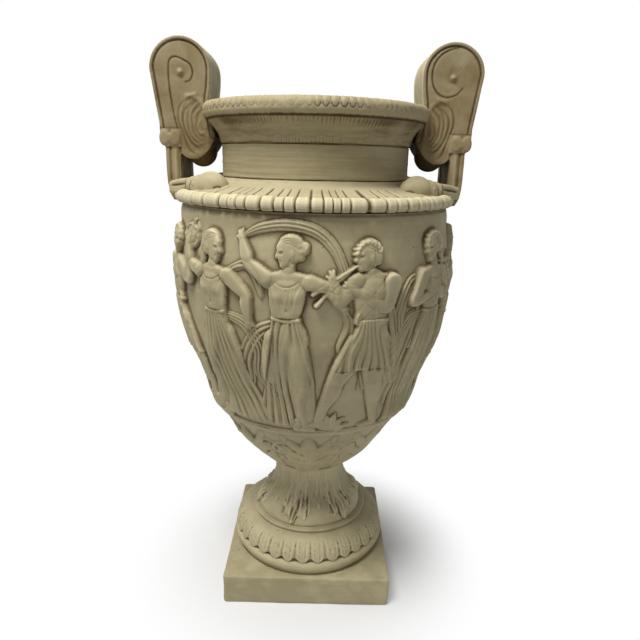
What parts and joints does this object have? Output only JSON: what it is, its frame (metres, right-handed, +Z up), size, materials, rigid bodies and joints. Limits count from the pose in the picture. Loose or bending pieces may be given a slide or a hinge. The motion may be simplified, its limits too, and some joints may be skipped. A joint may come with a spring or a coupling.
{
  "type": "volute handled plaster urn",
  "caption": "Antique style volute krater urn in cast plaster: relief bowl on a round foot and square plinth, flared rim, tall scrolled handles.",
  "frame": {"origin": "centre of the plinth's underside, on the surface the urn stands on", "axes": "+Z up through the bowl, the two handles along +X and -X, the front towards -Y"},
  "size_m": [0.4454, 0.4176, 0.816],
  "materials": {
    "plaster": "matt cast plaster with an umber wash in the hollows",
    "steel": "dull zinc plated steel"
  },
  "bodies": {
    "root": {"plinth": "plaster", "foot": "plaster", "stem": "plaster", "bowl_lower": "plaster", "bowl_upper": "plaster", "shoulder": "plaster", "neck": "plaster", "rim": "plaster", "handle_left": "plaster", "handle_right": "plaster", "bird_head_left_front": "plaster", "bird_head_left_rear": "plaster", "bird_head_right_front": "plaster", "bird_head_right_rear": "plaster", "tie_rod": "steel", "lower_washer": "steel", "lower_nut": "steel", "upper_washer": "steel", "upper_nut": "steel", "rim_dowel_left": "steel", "rim_dowel_right": "steel", "foot_dowel_left_front": "steel", "foot_dowel_left_rear": "steel", "foot_dowel_right_front": "steel", "foot_dowel_right_rear": "steel"}
  },
  "joints": []
}
